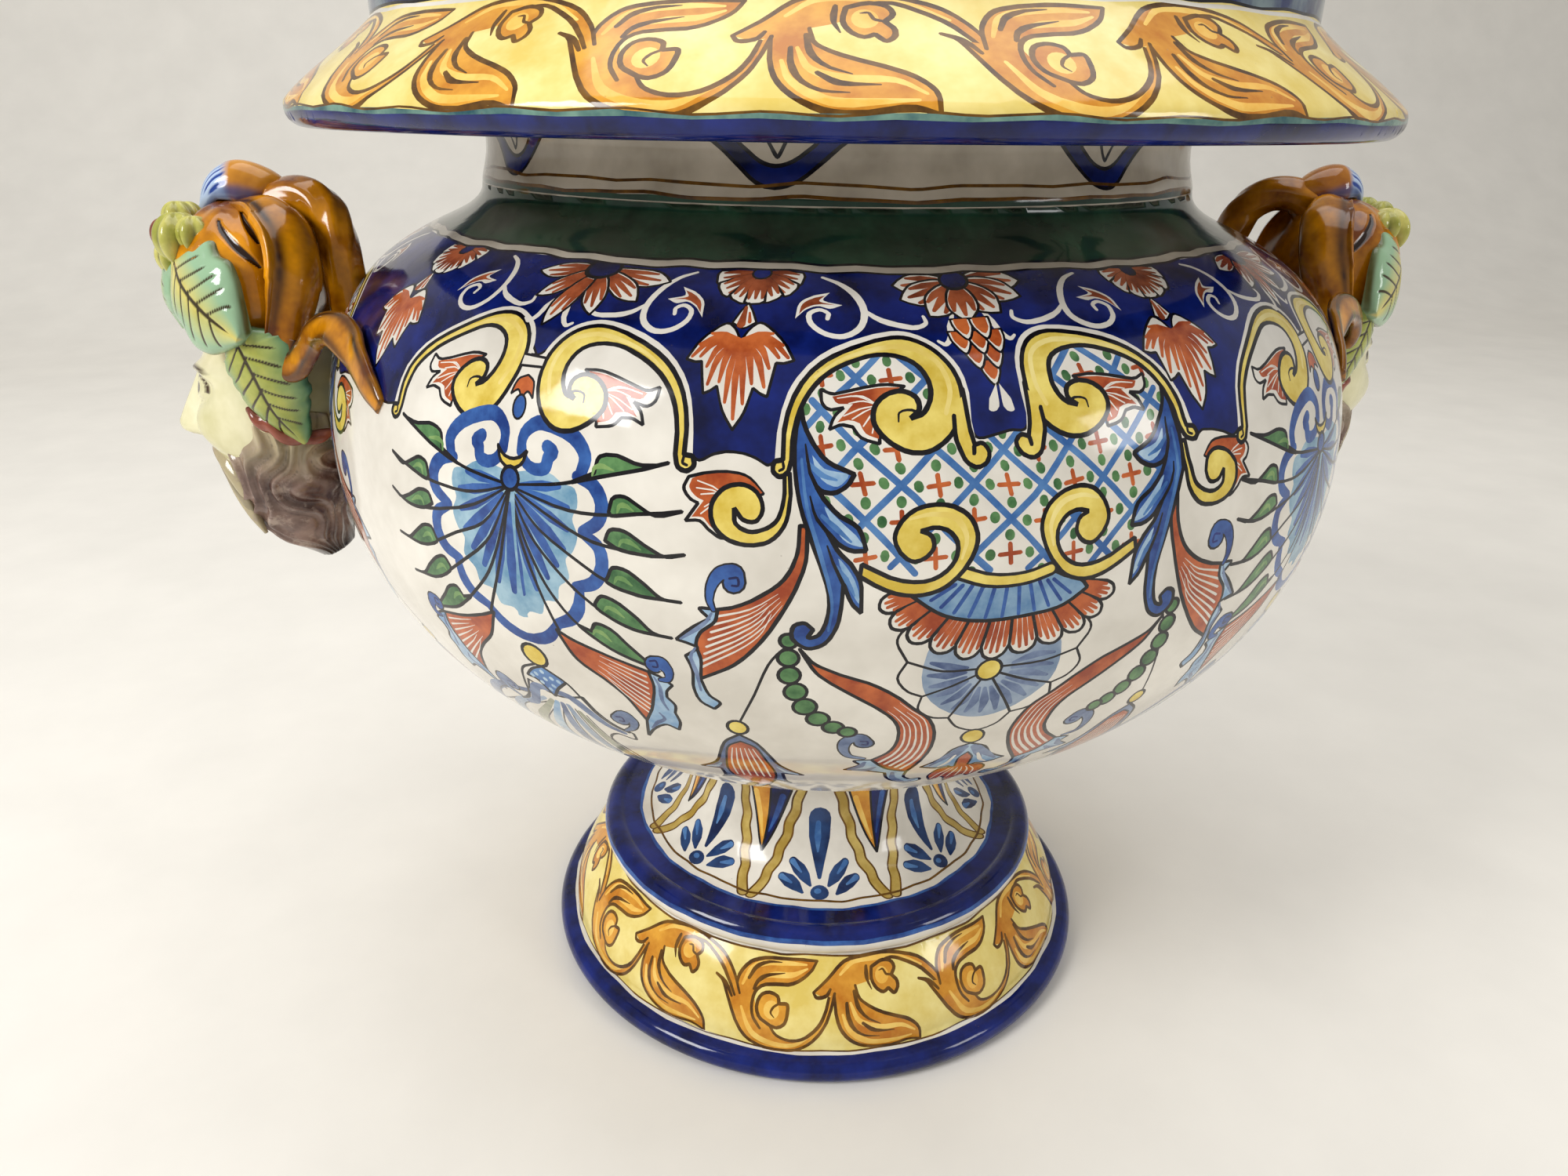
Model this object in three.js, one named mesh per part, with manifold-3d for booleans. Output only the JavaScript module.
// A faience campana vase: thrown foot, bowl and rim collar, bolted through the foot,
// with two modelled mask handles. Millimetres, +Z up, origin under the centre of the foot.
// The main painted panel faces -Y and the handles stand on +X and -X.
import * as THREE from 'three';
import { mergeVertices } from 'three/addons/utils/BufferGeometryUtils.js';
import Module from 'manifold-3d';

const wasm = await Module();
wasm.setup();

// Fits
const GAP = 0.3; // clear space left between two pieces that touch
const ROD_CLEARANCE = 2; // round the rod in the two fired bores

// Foot
const FOOT_RADIUS = 112.4; // at the rolled base edge
const FOOT_ROLL = 4.6; // radius of the rolled base edge
const FOOT_SLOPE_RADIUS = 104.8; // where the banded slope leaves the base edge
const FOOT_SHELF_Z = 49.8; // top of the shelf at the head of the slope
const FOOT_SHELF_RADIUS = 91.2; // outside of the ring on the shelf
const FOOT_RING_ROLL = 5.2; // half the height of that ring
const FOOT_RING_RISE = 0.8; // of that ring over the shelf
const FOOT_SLOPE_SWELL = 12; // how straight the slope starts
const FOOT_SLOPE_TUCK = 7; // how far it still leans under the ring
const STEM_FOOT_RADIUS = 72; // where the stem leaves the shelf
const STEM_RADIUS = 50; // at the seat
const STEM_WAIST = 2; // how much it hollows under the seat
const STEM_SPREAD = 15; // reach of the flare over the shelf
const STEM_STRAIGHT = 26; // length of the steep part under the seat
const STEM_TOP_Z = 97; // seat for the bowl
const FOOT_WALL = 9.5;
const STEM_FLOOR = 12; // thickness of the seat plate

// Bowl
const SEAT_RING_THICKNESS = 2;
const SEAT_RADIUS = 50;
const BOWL_FLOOR = 11;
const SEAT_FLARE = 58; // how far the underside spreads before it turns up
const SEAT_LIFT = 16; // how much it climbs over that spread
const BELLY_LOWER_SWELL = 65; // fullness under the widest circle
const BELLY_UPPER_SWELL = 46; // fullness over it
const BELLY_RADIUS = 171.6;
const BELLY_HEIGHT = 122.6; // of the widest circle, over the bowl's underside
const SHOULDER_RADIUS = 128; // where the shoulder turns into the neck
const SHOULDER_RISE = 67.8; // of that turn, over the widest circle
const SHOULDER_SLOPE = 23; // degrees, where it turns
const SHOULDER_REACH = 23; // fullness of the shoulder outside the turn
const SHOULDER_COVE = 5; // softness of the turn
const JOINT_RISE = 10.2; // from that turn to the neck joint
const BOWL_WALL = 11;
const NECK_JOINT_RADIUS = 116.6;

// Neck and rim collar
const NECK_RADIUS = 114.4;
const NECK_WAIST_RISE = 12; // of its narrowest circle, over the joint
const NECK_WALL = 10.5;
const RIM_SETBACK = 1.2; // of the rim's edge inside the belly's widest circle
const RIM_DROP_HEIGHT = 16; // of the rim's lowest edge, over the neck joint
const RIM_ROLL = 5; // radius of the rolled lower edge of the rim
const RIM_SLOPE_HEIGHT = 24; // from the middle of that roll to the foot of the lip
const LIP_RADIUS = 144;
const LIP_WIDTH = 13.5;
const LIP_HEIGHT = 13;
const UNDERCUT = 11; // depth of the hollow under the rim, over its lowest edge
const UNDERCUT_REACH = 22; // of the hollow's crown, out from the neck
const UNDERCUT_SPREAD = 14; // how broad that crown is

// Tie rod and its stack
const ROD_RADIUS = 5;
const ROD_OVERHANG = 5; // past each nut
const NUT_FLATS = 17;
const NUT_HEIGHT = 8;
const WASHER_RADIUS = 20;
const WASHER_THICKNESS = 3;
const SEAL_RADIUS = 22;
const SEAL_THICKNESS = 3;

// Mask handles: sizes of the pieces
const HANDLE_STEP = 1; // one step of the places below
const FACE_DEPTH = 52;
const FACE_WIDTH = 58;
const FACE_HEIGHT = 66;
const NOSE_FOOT = -0.17; // shares of the face height from its middle: thirds of a plain face
const NOSE_TIP = -0.11;
const NOSE_ROOT = 0.15;
const EYE_RISE = 0.1;
const EYE_SPREAD = 0.05;
const BROW_RISE = 0.17;
const BROW_SPREAD = 0.06;
const EYE_SIDE = 0.22; // shares of the face width from its middle
const EYE_REACH = 0.12;
const NOSE_LENGTH = 8.5; // how far it stands out
const NOSE_WIDTH = 13;
const BROW_DEPTH = 5;
const EYE_DEPTH = 4;
const CAP_DEPTH = 41;
const CAP_WIDTH = 66;
const CAP_HEIGHT = 64;
const CAP_SQUARENESS = 2.4; // 2 is a plain egg
const BEARD_WIDTH = 54;
const BEARD_THICKNESS = 34;
const DRAPE_WIDTH = 17;
const DRAPE_THICKNESS = 9;
const TAIL_WIDTH = 13;
const TAIL_THICKNESS = 5;
const LOOP_WIDTH = 18;
const LOOP_THICKNESS = 12;
const PETAL_WIDTH = 26;
const PETAL_THICKNESS = 8;
const FRONT_LEAF_WIDTH = 26;
const BROW_LEAF_WIDTH = 27;
const EAR_LEAF_WIDTH = 24;
const LEAF_THICKNESS = 7;
const BERRY_RADIUS = 5.4;

// Facets
const ROUND = 36; // flats round the thrown pieces
const SMALL_ROUND = 20; // flats round the rod, washers and seals
const FACE_RINGS = 13;
const FACE_FLATS = 18;
const CAP_RINGS = 9;
const CAP_FLATS = 16;
const BERRY_FLATS = 6;
const SWEEP_FLATS = 8;
const BOWL_STEPS = 7; // along each half of the outside curve
const BOWL_INNER_STEPS = 4;

// Heights and radii that follow from those sizes
const SEAT_Z = STEM_TOP_Z + SEAT_RING_THICKNESS + 2 * GAP; // underside of the bowl
const BELLY_Z = SEAT_Z + BELLY_HEIGHT;
const SHOULDER_Z = BELLY_Z + SHOULDER_RISE;
const JOINT_Z = SHOULDER_Z + JOINT_RISE;
const RIM_RADIUS = BELLY_RADIUS - RIM_SETBACK;
const RIM_LOW_Z = JOINT_Z + RIM_DROP_HEIGHT;
const RIM_ROLL_Z = RIM_LOW_Z + RIM_ROLL;
const LIP_Z = RIM_ROLL_Z + RIM_SLOPE_HEIGHT;
const BORE_RADIUS = ROD_RADIUS + ROD_CLEARANCE;

const MATERIALS = {
  glaze: new THREE.MeshStandardMaterial({ color: 0xe9e6da, roughness: 0.12, metalness: 0 }),
  yellow: new THREE.MeshStandardMaterial({ color: 0xe3c95e, roughness: 0.12, metalness: 0 }),
  amber: new THREE.MeshStandardMaterial({ color: 0xa8660f, roughness: 0.12, metalness: 0 }),
  cream: new THREE.MeshStandardMaterial({ color: 0xe6e2b4, roughness: 0.15, metalness: 0 }),
  beard: new THREE.MeshStandardMaterial({ color: 0x7b5f56, roughness: 0.18, metalness: 0 }),
  leaf: new THREE.MeshStandardMaterial({ color: 0x8fc0a0, roughness: 0.15, metalness: 0 }),
  berry: new THREE.MeshStandardMaterial({ color: 0xb9a04c, roughness: 0.15, metalness: 0 }),
  petal: new THREE.MeshStandardMaterial({ color: 0xc3d0e6, roughness: 0.15, metalness: 0 }),
  steel: new THREE.MeshStandardMaterial({ color: 0xa9abad, roughness: 0.4, metalness: 1 }),
  rubber: new THREE.MeshStandardMaterial({ color: 0x2b2a29, roughness: 0.8, metalness: 0 }),
  plaster: new THREE.MeshStandardMaterial({ color: 0xd8d2c4, roughness: 0.9, metalness: 0 }),
};

const vase = new THREE.Group();

// Solids

function solidOf(geometry) {
  const bare = geometry.clone();
  bare.deleteAttribute('normal');
  bare.deleteAttribute('uv');
  const merged = mergeVertices(bare, 1e-4);
  const place = merged.attributes.position;
  const corners = [];
  for (let k = 0; k < merged.index.count; k += 3) {
    const [a, b, c] = [0, 1, 2].map((n) => merged.index.getX(k + n));
    if (a !== b && b !== c && c !== a) corners.push([a, b, c]);
  }
  const at = (n) => new THREE.Vector3().fromBufferAttribute(place, n);
  const volume = corners.reduce((sum, [a, b, c]) => sum + at(a).dot(at(b).cross(at(c))), 0);
  const outward = volume > 0 ? corners : corners.map(([a, b, c]) => [a, c, b]);
  const mesh = new wasm.Mesh({
    numProp: 3,
    vertProperties: new Float32Array(place.array),
    triVerts: new Uint32Array(outward.flat()),
  });
  mesh.merge();
  return new wasm.Manifold(mesh);
}

function largest(solid) {
  const bodies = solid.decompose();
  return bodies.reduce((best, body) => (body.volume() > best.volume() ? body : best));
}

function cut(solid, keepOut) {
  return largest(keepOut.reduce((rest, other) => rest.subtract(other), solid));
}

function geometryOf(solid) {
  const mesh = solid.getMesh();
  const geometry = new THREE.BufferGeometry();
  geometry.setAttribute('position', new THREE.BufferAttribute(new Float32Array(mesh.vertProperties), 3));
  geometry.setIndex(new THREE.BufferAttribute(new Uint32Array(mesh.triVerts), 1));
  geometry.computeVertexNormals();
  return geometry;
}

function add(parent, name, solid, material) {
  const mesh = new THREE.Mesh(geometryOf(solid), MATERIALS[material]);
  mesh.name = name;
  parent.add(mesh);
}

// Turned shapes: a profile is a list of [curve, steps] in (radius, height)

const point = (r, z) => new THREE.Vector2(r, z);
const line = (a, b) => [new THREE.LineCurve(a, b), 1];
const bend = (a, b, c, d, steps) => [new THREE.CubicBezierCurve(a, b, c, d), steps];
const arc = (centre, radius, from, to, steps) => [
  new THREE.EllipseCurve(
    centre.x, centre.y, radius, radius,
    THREE.MathUtils.degToRad(from), THREE.MathUtils.degToRad(to), to < from,
  ),
  steps,
];

function trace(profile) {
  const points = [];
  for (const [curve, steps] of profile) {
    for (const next of curve.getPoints(steps)) {
      const last = points.at(-1);
      if (!last || last.distanceTo(next) > 0.02) points.push(next);
    }
  }
  return points;
}

function turned(points, flats) {
  const geometry = new THREE.LatheGeometry([...points, points[0]], flats);
  geometry.rotateX(Math.PI / 2);
  return solidOf(geometry);
}

function ring(inner, outer, low, high, flats) {
  return turned([point(inner, low), point(outer, low), point(outer, high), point(inner, high)], flats);
}

function disc(radius, low, high, flats) {
  const geometry = new THREE.CylinderGeometry(radius, radius, high - low, flats);
  geometry.rotateX(Math.PI / 2);
  geometry.translate(0, 0, (low + high) / 2);
  return solidOf(geometry);
}

// The thrown pieces

function footSolid() {
  const rollCentre = point(FOOT_RADIUS - FOOT_ROLL, FOOT_ROLL);
  const slopeFoot = point(FOOT_SLOPE_RADIUS, 2 * FOOT_ROLL);
  const ringZ = FOOT_SHELF_Z - FOOT_RING_ROLL + FOOT_RING_RISE;
  const ringCentre = point(FOOT_SHELF_RADIUS - FOOT_RING_ROLL, ringZ);
  const shelfEdge = point(ringCentre.x + FOOT_RING_ROLL / 2, ringZ - FOOT_RING_ROLL);
  const shelf = point(STEM_FOOT_RADIUS, FOOT_SHELF_Z);
  const stemTop = point(STEM_RADIUS, STEM_TOP_Z);
  const outside = trace([
    arc(rollCentre, FOOT_ROLL, -90, 75, 4),
    bend(slopeFoot, point(slopeFoot.x, slopeFoot.y + FOOT_SLOPE_SWELL),
      point(shelfEdge.x + FOOT_SLOPE_TUCK, shelfEdge.y - FOOT_SLOPE_TUCK), shelfEdge, 4),
    arc(ringCentre, FOOT_RING_ROLL, -50, 130, 4),
    bend(shelf, point(STEM_FOOT_RADIUS - STEM_SPREAD, FOOT_SHELF_Z + STEM_SPREAD / 3),
      point(STEM_RADIUS - STEM_WAIST, STEM_TOP_Z - STEM_STRAIGHT), stemTop, 5),
  ]);
  const plateZ = STEM_TOP_Z - STEM_FLOOR;
  const innerStem = STEM_RADIUS - FOOT_WALL;
  const innerSlope = FOOT_SLOPE_RADIUS - FOOT_WALL;
  const ceiling = FOOT_SHELF_Z - FOOT_WALL;
  const inside = trace([
    line(point(BORE_RADIUS, STEM_TOP_Z), point(BORE_RADIUS, plateZ)),
    line(point(BORE_RADIUS, plateZ), point(innerStem, plateZ)),
    bend(point(innerStem, plateZ), point(innerStem, plateZ - STEM_STRAIGHT / 2),
      point(STEM_FOOT_RADIUS - STEM_SPREAD, ceiling), point(STEM_FOOT_RADIUS, ceiling), 4),
    bend(point(STEM_FOOT_RADIUS, ceiling), point(innerSlope - FOOT_WALL, ceiling),
      point(innerSlope, ceiling / 2), point(innerSlope, 0), 4),
  ]);
  return turned([...outside, ...inside], ROUND);
}

const seat = point(SEAT_RADIUS, SEAT_Z);
const widest = point(BELLY_RADIUS, BELLY_Z);
const shoulder = point(SHOULDER_RADIUS, SHOULDER_Z);
const joint = point(NECK_JOINT_RADIUS, JOINT_Z);
const slope = THREE.MathUtils.degToRad(SHOULDER_SLOPE);
const downSlope = point(Math.cos(slope), -Math.sin(slope));

// The outside of the bowl, grown outwards by the given amount
function bowlOutside(grow, steps) {
  const points = trace([
    bend(seat, point(SEAT_RADIUS + SEAT_FLARE, SEAT_Z + SEAT_LIFT),
      point(BELLY_RADIUS, BELLY_Z - BELLY_LOWER_SWELL), widest, steps),
    bend(widest, point(BELLY_RADIUS, BELLY_Z + BELLY_UPPER_SWELL),
      shoulder.clone().addScaledVector(downSlope, SHOULDER_REACH), shoulder, steps),
    bend(shoulder, shoulder.clone().addScaledVector(downSlope, -SHOULDER_COVE),
      point(NECK_JOINT_RADIUS, JOINT_Z - SHOULDER_COVE), joint, 2),
  ]);
  return points.map((here, n) => {
    const before = points[Math.max(n - 1, 0)];
    const after = points[Math.min(n + 1, points.length - 1)];
    const along = after.clone().sub(before).normalize();
    return point(here.x + along.y * grow, here.y - along.x * grow);
  });
}

function bowlSolid() {
  const inside = bowlOutside(-BOWL_WALL, BOWL_INNER_STEPS).filter((p) => p.y > SEAT_Z + BOWL_FLOOR + GAP);
  inside.pop();
  const throat = NECK_JOINT_RADIUS - BOWL_WALL;
  return turned([
    ...bowlOutside(0, BOWL_STEPS),
    point(throat, JOINT_Z),
    ...inside.reverse(),
    point(SEAT_RADIUS - BOWL_WALL, SEAT_Z + BOWL_FLOOR),
    point(BORE_RADIUS, SEAT_Z + BOWL_FLOOR),
    point(BORE_RADIUS, SEAT_Z),
  ], ROUND);
}

// Everything that the handles have to stay clear of
function bowlKeepOut() {
  const points = bowlOutside(GAP, BOWL_STEPS);
  return turned([point(0, SEAT_Z), ...points, point(0, JOINT_Z)], ROUND);
}

function collarSolid() {
  const base = JOINT_Z + GAP;
  const foot = point(NECK_JOINT_RADIUS, base);
  const waist = point(NECK_RADIUS, base + NECK_WAIST_RISE);
  const vault = point(NECK_RADIUS + UNDERCUT_REACH, RIM_LOW_Z + UNDERCUT);
  const rollCentre = point(RIM_RADIUS - RIM_ROLL, RIM_ROLL_Z);
  const rollFoot = point(rollCentre.x, RIM_LOW_Z);
  const bevel = RIM_ROLL * Math.SQRT1_2;
  const slopeFoot = point(rollCentre.x + bevel, RIM_ROLL_Z + bevel);
  const slopeTop = point(LIP_RADIUS, LIP_Z);
  const lipCentre = point(LIP_RADIUS - LIP_WIDTH / 2, LIP_Z + LIP_HEIGHT - LIP_WIDTH / 2);
  const throat = point(NECK_JOINT_RADIUS - BOWL_WALL, base);
  const innerWaist = point(NECK_RADIUS - NECK_WALL, waist.y);
  const innerLip = point(LIP_RADIUS - LIP_WIDTH, lipCentre.y);
  const swell = point((slopeFoot.x - slopeTop.x) / 4, (slopeTop.y - slopeFoot.y) / 3);
  return turned(trace([
    bend(foot, point(NECK_JOINT_RADIUS, base + NECK_WAIST_RISE / 4),
      point(NECK_RADIUS, base + NECK_WAIST_RISE / 2), waist, 2),
    bend(waist, point(NECK_RADIUS, waist.y + NECK_WAIST_RISE / 2),
      point(vault.x - UNDERCUT_SPREAD, vault.y), vault, 3),
    bend(vault, point(vault.x + UNDERCUT_SPREAD, vault.y), point(rollFoot.x - UNDERCUT, rollFoot.y),
      rollFoot, 3),
    arc(rollCentre, RIM_ROLL, -90, 30, 3),
    bend(slopeFoot, point(slopeFoot.x - swell.x, slopeFoot.y + swell.y),
      point(slopeTop.x + swell.x, slopeTop.y - swell.y), slopeTop, 3),
    arc(lipCentre, LIP_WIDTH / 2, 0, 180, 4),
    bend(innerLip, point(innerLip.x, LIP_Z - UNDERCUT),
      point(innerWaist.x, innerWaist.y + UNDERCUT_SPREAD), innerWaist, 4),
    line(innerWaist, throat),
  ]), ROUND);
}

// The tie rod and what it clamps, stacked away from the two seats

function nutSolid(low) {
  const outline = new THREE.Shape();
  const corner = NUT_FLATS / Math.sqrt(3);
  for (let k = 0; k < 6; k += 1) {
    const turn = (k * Math.PI) / 3;
    outline[k ? 'lineTo' : 'moveTo'](corner * Math.cos(turn), corner * Math.sin(turn));
  }
  outline.closePath();
  const hole = new THREE.Path();
  hole.absarc(0, 0, ROD_RADIUS + GAP, 0, 2 * Math.PI, true);
  outline.holes.push(hole);
  const geometry = new THREE.ExtrudeGeometry(outline, {
    depth: NUT_HEIGHT, bevelEnabled: false, curveSegments: SMALL_ROUND / 2,
  });
  geometry.translate(0, 0, low);
  return solidOf(geometry);
}

function addTieRod() {
  const bore = ROD_RADIUS + GAP;
  const bowlFloorZ = SEAT_Z + BOWL_FLOOR;
  const plateZ = STEM_TOP_Z - STEM_FLOOR;
  const sealUp = bowlFloorZ + GAP;
  const washerUp = sealUp + SEAL_THICKNESS + GAP;
  const nutUp = washerUp + WASHER_THICKNESS + GAP;
  const sealDown = plateZ - GAP;
  const washerDown = sealDown - SEAL_THICKNESS - GAP;
  const nutDown = washerDown - WASHER_THICKNESS - GAP;
  const rodLow = nutDown - NUT_HEIGHT - ROD_OVERHANG;
  const rodHigh = nutUp + NUT_HEIGHT + ROD_OVERHANG;
  add(vase, 'tie_rod', disc(ROD_RADIUS, rodLow, rodHigh, SMALL_ROUND), 'steel');
  add(vase, 'bowl_seal', ring(bore, SEAL_RADIUS, sealUp, sealUp + SEAL_THICKNESS, SMALL_ROUND), 'rubber');
  add(vase, 'bowl_washer',
    ring(bore, WASHER_RADIUS, washerUp, washerUp + WASHER_THICKNESS, SMALL_ROUND), 'steel');
  add(vase, 'bowl_nut', nutSolid(nutUp), 'steel');
  add(vase, 'foot_seal', ring(bore, SEAL_RADIUS, sealDown - SEAL_THICKNESS, sealDown, SMALL_ROUND), 'rubber');
  add(vase, 'foot_washer',
    ring(bore, WASHER_RADIUS, washerDown - WASHER_THICKNESS, washerDown, SMALL_ROUND), 'steel');
  add(vase, 'foot_nut', nutSolid(nutDown - NUT_HEIGHT), 'steel');
  const seatLow = STEM_TOP_Z + GAP;
  add(vase, 'seat_ring',
    ring(BORE_RADIUS, SEAT_RADIUS, seatLow, seatLow + SEAT_RING_THICKNESS, ROUND), 'plaster');
}

// Modelled shapes: every place is counted in steps from the widest point of the belly on +X,
// as [outwards, sideways, upwards]

const FACE_CENTRE = [16.4, 0, 9];
const CAP_CENTRE = [20.6, 0, 41];

const place = ([out, side, up]) => new THREE.Vector3(out, side, up)
  .multiplyScalar(HANDLE_STEP)
  .add(new THREE.Vector3(BELLY_RADIUS, 0, BELLY_Z));

function closedGrid(rows, first, last) {
  const flats = rows[0].length;
  const positions = [...rows.flat(), first, last];
  const index = [];
  const tip = rows.length * flats;
  for (let n = 0; n < flats; n += 1) {
    const next = (n + 1) % flats;
    index.push(tip, next, n);
    for (let m = 0; m + 1 < rows.length; m += 1) {
      const [a, b] = [m * flats + n, m * flats + next];
      index.push(a, b, b + flats, a, b + flats, a + flats);
    }
    const top = (rows.length - 1) * flats;
    index.push(tip + 1, top + n, top + next);
  }
  const geometry = new THREE.BufferGeometry();
  geometry.setAttribute('position', new THREE.Float32BufferAttribute(positions.flatMap((p) => p.toArray()), 3));
  geometry.setIndex(index);
  return solidOf(geometry);
}

// A body swept along a curve with a lens-shaped section. widths and depths are shares of
// the full width and thickness along the way; across gives the direction of the width.
function swept({ path, across, width, thickness, widths, depths, steps }, grow) {
  const curve = new THREE.CatmullRomCurve3(path.map(place), false, 'centripetal');
  const share = (list, t) => {
    const at = t * (list.length - 1);
    const k = Math.min(Math.floor(at), list.length - 2);
    const mix = THREE.MathUtils.smoothstep(at - k, 0, 1);
    return list[k] * (1 - mix) + list[k + 1] * mix;
  };
  const rows = [];
  for (let m = 0; m <= steps; m += 1) {
    const t = m / steps;
    const centre = curve.getPoint(t);
    const tangent = curve.getTangent(t);
    const side = across(centre, tangent).normalize();
    side.addScaledVector(tangent, -side.dot(tangent)).normalize();
    const normal = tangent.clone().cross(side);
    const halfWidth = (share(widths, t) * width) / 2 + grow;
    const halfDepth = (share(depths, t) * thickness) / 2 + grow;
    const row = [];
    for (let n = 0; n < SWEEP_FLATS; n += 1) {
      const turn = (2 * Math.PI * n) / SWEEP_FLATS;
      row.push(centre.clone()
        .addScaledVector(side, halfWidth * Math.cos(turn))
        .addScaledVector(normal, halfDepth * Math.sin(turn)));
    }
    rows.push(row);
  }
  const end = (t, sign) => {
    const reach = (share(depths, t) * thickness) / 2 + grow;
    return curve.getPoint(t).addScaledVector(curve.getTangent(t), sign * reach);
  };
  return closedGrid(rows, end(0, -1), end(1, 1));
}

const outwards = () => new THREE.Vector3(1, 0, 0);
const sideways = () => new THREE.Vector3(0, 1, 0);
const onBelly = (centre, tangent) => tangent.clone().cross(new THREE.Vector3(centre.x, centre.y, 0));
const onHead = (centre, tangent) => tangent.clone().cross(centre.clone().sub(place(CAP_CENTRE)));

// The hood over the back of the head, squarer in plan than an egg
function capSolid(grow) {
  const middle = place(CAP_CENTRE);
  const half = [CAP_DEPTH / 2 + grow, CAP_WIDTH / 2 + grow, CAP_HEIGHT / 2 + grow];
  const bulge = (value) => Math.sign(value) * Math.abs(value) ** (2 / CAP_SQUARENESS);
  const rows = [];
  for (let m = 1; m < CAP_RINGS; m += 1) {
    const tilt = -Math.PI / 2 + (Math.PI * m) / CAP_RINGS;
    rows.push(Array.from({ length: CAP_FLATS }, (_, n) => {
      const turn = (2 * Math.PI * n) / CAP_FLATS;
      return new THREE.Vector3(
        middle.x + half[0] * Math.cos(tilt) * bulge(Math.cos(turn)),
        middle.y + half[1] * Math.cos(tilt) * bulge(Math.sin(turn)),
        middle.z + half[2] * Math.sin(tilt),
      );
    }));
  }
  const pole = (sign) => new THREE.Vector3(middle.x, middle.y, middle.z + sign * half[2]);
  return closedGrid(rows, pole(-1), pole(1));
}

// The face: an egg with a nose, a brow and two eye hollows
function faceSolid(grow) {
  const middle = place(FACE_CENTRE);
  const half = [FACE_DEPTH / 2 + grow, FACE_WIDTH / 2 + grow, FACE_HEIGHT / 2 + grow];
  const bump = (value, centre, spread) => Math.exp(-(((value - centre) / spread) ** 2));
  const rows = [];
  for (let m = 1; m < FACE_RINGS; m += 1) {
    const tilt = -Math.PI / 2 + (Math.PI * m) / FACE_RINGS;
    rows.push(Array.from({ length: FACE_FLATS }, (_, n) => {
      const turn = (2 * Math.PI * n) / FACE_FLATS;
      const side = half[1] * Math.cos(tilt) * Math.sin(turn);
      const up = half[2] * Math.sin(tilt);
      const front = Math.max(Math.cos(turn), 0);
      const level = up / FACE_HEIGHT;
      const noseRise = THREE.MathUtils.smoothstep(level, NOSE_FOOT, NOSE_TIP)
        * (1 - THREE.MathUtils.smoothstep(level, NOSE_TIP, NOSE_ROOT));
      const nose = NOSE_LENGTH * noseRise * bump(side, 0, NOSE_WIDTH / 2);
      const brow = BROW_DEPTH * bump(level, BROW_RISE, BROW_SPREAD);
      const eyes = EYE_DEPTH * bump(level, EYE_RISE, EYE_SPREAD)
        * bump(Math.abs(side) / FACE_WIDTH, EYE_SIDE, EYE_REACH);
      const out = half[0] * Math.cos(tilt) * Math.cos(turn) + front * (nose + brow - eyes);
      return new THREE.Vector3(middle.x + out, middle.y + side, middle.z + up);
    }));
  }
  const pole = (sign) => new THREE.Vector3(middle.x, middle.y, middle.z + sign * half[2]);
  return closedGrid(rows, pole(-1), pole(1));
}

const beardShape = {
  path: [[22, 0, -7], [19, 0, -21], [13.5, 0, -34], [5.5, 0, -45]],
  across: sideways,
  width: BEARD_WIDTH,
  thickness: BEARD_THICKNESS,
  widths: [1, 0.95, 0.7, 0.34],
  depths: [0.95, 1, 0.8, 0.36],
  steps: 9,
};

const loopShape = {
  path: [[13, 0, 66], [3, 4, 75], [-6, 9, 73], [-12.5, 13, 63], [-16, 15, 52], [-18.5, 16, 42]],
  across: sideways,
  width: LOOP_WIDTH,
  thickness: LOOP_THICKNESS,
  widths: [1, 1, 0.92, 0.85, 0.85, 0.9],
  depths: [1, 1, 1, 0.95, 0.95, 1],
  steps: 12,
};

const petalShape = {
  path: [[34, 0, 62], [31.5, 0, 72], [25, 0, 79.5], [21, 0, 83]],
  across: sideways,
  width: PETAL_WIDTH,
  thickness: PETAL_THICKNESS,
  widths: [0.75, 1, 0.62, 0.12],
  depths: [0.9, 1, 0.8, 0.35],
  steps: 7,
};

const frontLeafShape = {
  path: [[36, 0, 62], [41, 0, 53], [42.5, 0, 43], [41, 0, 33]],
  across: sideways,
  width: FRONT_LEAF_WIDTH,
  thickness: LEAF_THICKNESS,
  widths: [0.45, 1, 0.85, 0.12],
  depths: [0.8, 1, 0.9, 0.4],
  steps: 7,
};

const drapeShape = (side) => ({
  path: [[19, 7 * side, 75], [10, 25 * side, 69], [6, 31 * side, 54], [6, 32 * side, 39],
    [6, 31 * side, 27.5]],
  across: outwards,
  width: DRAPE_WIDTH,
  thickness: DRAPE_THICKNESS,
  widths: [0.8, 1, 1, 0.95, 0.75],
  depths: [0.8, 1, 1, 1, 0.8],
  steps: 10,
});

const tailShape = (side) => ({
  path: [[5, 32.5 * side, 22.5], [0.6, 39 * side, 24], [-7, 45 * side, 35], [-11, 50.5 * side, 41.5],
    [-17.5, 60 * side, 37.5], [-23, 74 * side, 29], [-26, 85 * side, 25]],
  across: onBelly,
  width: TAIL_WIDTH,
  thickness: TAIL_THICKNESS,
  widths: [0.8, 1, 1, 0.95, 1, 0.95, 0.25],
  depths: [1, 1, 1, 1, 1, 1, 0.6],
  steps: 12,
});

const browLeafShape = (side) => ({
  path: [[37, 8 * side, 58], [35.5, 20 * side, 51], [28, 32 * side, 41], [17, 37 * side, 30]],
  across: onHead,
  width: BROW_LEAF_WIDTH,
  thickness: LEAF_THICKNESS,
  widths: [0.4, 1, 0.9, 0.12],
  depths: [0.8, 1, 1, 0.4],
  steps: 7,
});

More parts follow.
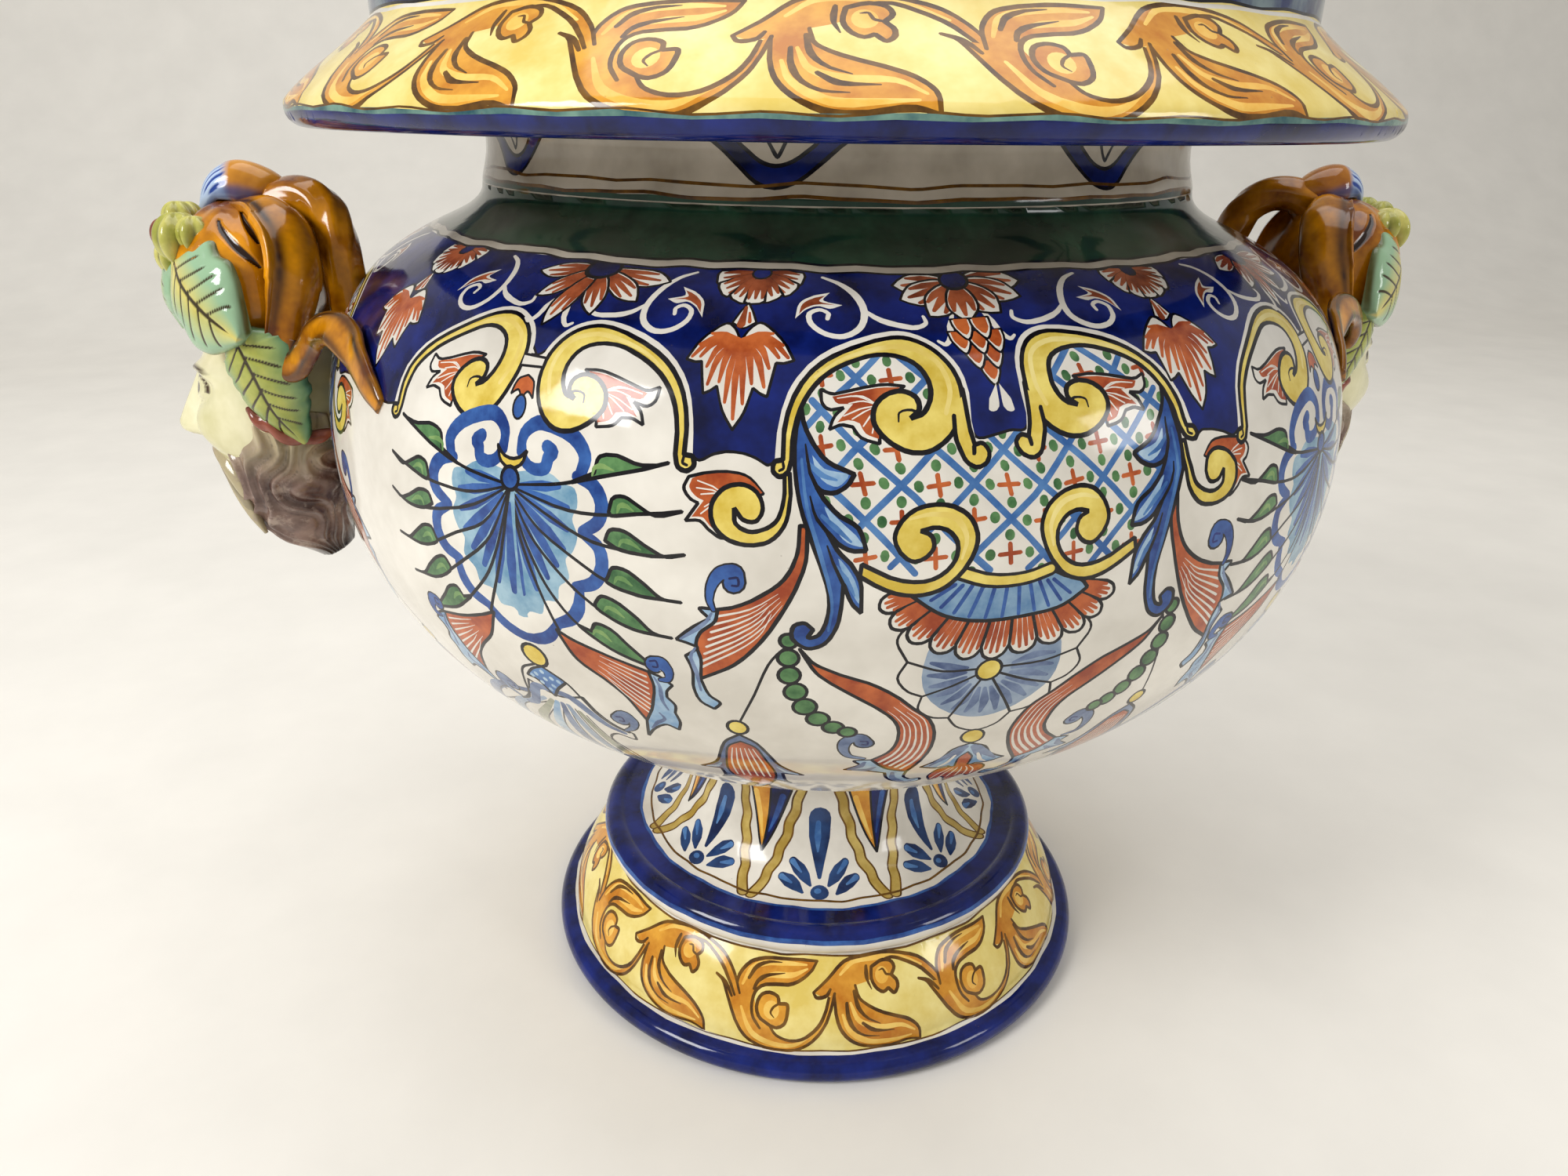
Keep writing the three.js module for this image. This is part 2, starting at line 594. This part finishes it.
const earLeafShape = (side) => ({
  path: [[20, 29 * side, 34], [17, 31.5 * side, 24], [11, 31.5 * side, 13], [4.5, 29 * side, 5]],
  across: outwards,
  width: EAR_LEAF_WIDTH,
  thickness: LEAF_THICKNESS,
  widths: [0.35, 1, 0.95, 0.12],
  depths: [0.8, 1, 1, 0.4],
  steps: 7,
});

const BERRY_PLACES = [[41.5, 0, 58], [38.5, 6.5, 62], [38.5, -6.5, 62], [38, 0, 66], [39, 8.4, 55],
  [39, -8.4, 55]];
function berrySolid() {
  const berries = BERRY_PLACES.map((spot) => {
    const geometry = new THREE.SphereGeometry(BERRY_RADIUS, BERRY_FLATS, BERRY_FLATS - 2);
    geometry.translate(...place(spot).toArray());
    return solidOf(geometry);
  });
  return berries.reduce((cluster, berry) => cluster.add(berry));
}

// One handle's pieces on +X, each cut clear of the pieces that it was pressed on to
function handlePieces() {
  const belly = bowlKeepOut();
  const face = faceSolid(GAP);
  const beard = swept(beardShape, GAP);
  const cap = capSolid(GAP);
  const drapes = [1, -1].map((side) => swept(drapeShape(side), GAP));
  const loop = swept(loopShape, GAP);
  const petal = swept(petalShape, GAP);
  const earLeaves = [1, -1].map((side) => swept(earLeafShape(side), GAP));
  const browLeaves = [1, -1].map((side) => swept(browLeafShape(side), GAP));
  const frontLeaf = swept(frontLeafShape, GAP);
  const head = [belly, face, beard, cap];
  const pieces = [
    ['mask_face', cut(faceSolid(0), [belly]), 'cream'],
    ['mask_beard', cut(swept(beardShape, 0), [belly, face]), 'beard'],
    ['mask_cap', cut(capSolid(0), [belly, face, beard]), 'amber'],
    ['loop', cut(swept(loopShape, 0), [belly, face, cap, ...drapes]), 'amber'],
    ['crest_petal', cut(swept(petalShape, 0), [cap, loop, ...drapes]), 'petal'],
    ['front_leaf', cut(swept(frontLeafShape, 0), [face, cap, petal, ...browLeaves]), 'leaf'],
    ['berries', cut(berrySolid(), [face, cap, petal, frontLeaf, ...browLeaves]), 'berry'],
  ];
  ['back', 'front'].forEach((end, n) => {
    const side = n ? -1 : 1;
    const [drape, ear] = [drapes[n], earLeaves[n]];
    pieces.push(
      [`${end}_drape`, cut(swept(drapeShape(side), 0), head), 'amber'],
      [`${end}_ear_leaf`, cut(swept(earLeafShape(side), 0), [...head, drape]), 'leaf'],
      [`${end}_brow_leaf`, cut(swept(browLeafShape(side), 0), [...head, drape, ear, petal]), 'leaf'],
      [`${end}_ribbon_tail`, cut(swept(tailShape(side), 0), [...head, drape, ear]), 'amber'],
    );
  });
  return pieces;
}

add(vase, 'foot_pedestal', footSolid(), 'yellow');
add(vase, 'bowl_body', bowlSolid(), 'glaze');
add(vase, 'rim_collar', collarSolid(), 'yellow');
addTieRod();

const pieces = handlePieces();
for (const [hand, turn] of [['right', 0], ['left', Math.PI]]) {
  const handle = new THREE.Group();
  handle.rotation.z = turn;
  // The left handle is turned half way round, so its two sides change places
  const swap = { back: 'front', front: 'back' };
  for (const [name, solid, material] of pieces) {
    const end = name.split('_')[0];
    const named = turn && swap[end] && name !== 'front_leaf' ? name.replace(end, swap[end]) : name;
    add(handle, `${hand}_${named}`, solid, material);
  }
  vase.add(handle);
}

export default vase;
